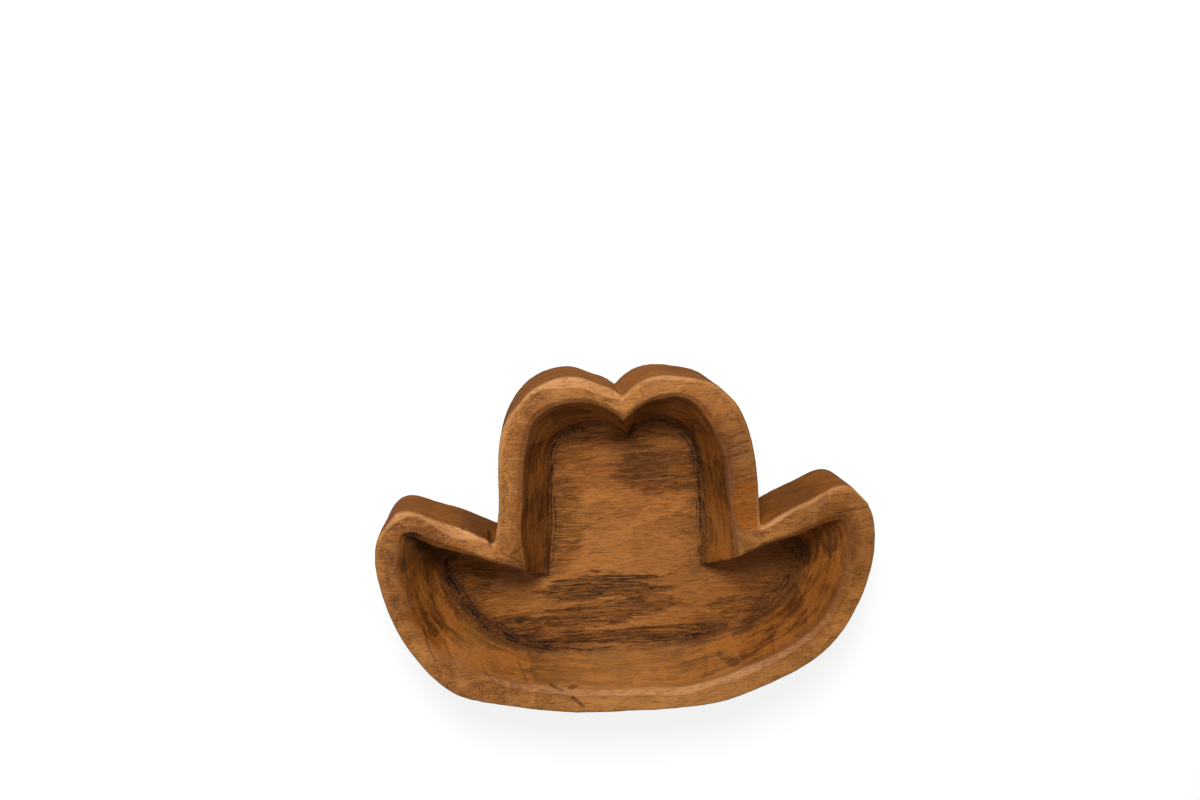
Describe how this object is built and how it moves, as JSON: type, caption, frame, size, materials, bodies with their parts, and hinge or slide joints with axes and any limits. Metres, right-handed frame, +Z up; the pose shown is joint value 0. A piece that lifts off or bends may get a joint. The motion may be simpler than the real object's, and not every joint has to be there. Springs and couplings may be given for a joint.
{
  "type": "dough bowl",
  "caption": "Hat-shaped dough bowl carved from a single block of brown-stained wood, with upright walls, a flat rim and a flat base.",
  "frame": {"origin": "middle of the base, on the surface that the bowl stands on", "axes": "+X across the brim from tip to tip, +Y from the brim to the crown, +Z up, out of the opening"},
  "size_m": [0.28, 0.196, 0.056],
  "materials": {
    "stained_wood": "brown stain under a satin wax, hand-carved"
  },
  "bodies": {
    "root": {"bowl": "stained_wood"}
  },
  "joints": []
}
